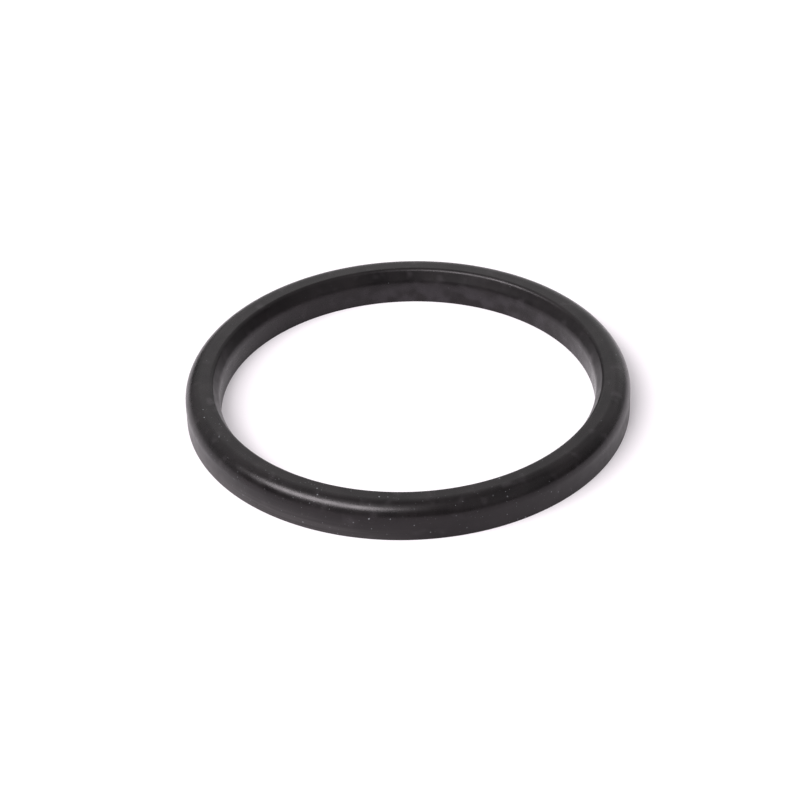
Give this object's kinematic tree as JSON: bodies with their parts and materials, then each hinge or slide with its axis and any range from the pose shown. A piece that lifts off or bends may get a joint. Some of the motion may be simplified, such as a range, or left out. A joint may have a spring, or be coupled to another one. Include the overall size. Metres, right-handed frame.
{
  "type": "group head gasket",
  "caption": "Black rubber sealing ring with a flat back face and a crown that has a rounded outer shoulder and a bevelled inner one, which seals a filter holder against an espresso brewing group.",
  "frame": {"origin": "centre of the flat back face, on the axis of the ring", "axes": "+Z along the axis of the ring, from the back face to the crown; X and Y are equivalent, because the ring is a body of revolution"},
  "size_m": [0.066, 0.066, 0.0055],
  "materials": {
    "rubber": "moulded nitrile rubber, satin, with a light bloom and a few specks of dust"
  },
  "bodies": {
    "root": {"gasket": "rubber"}
  },
  "joints": []
}
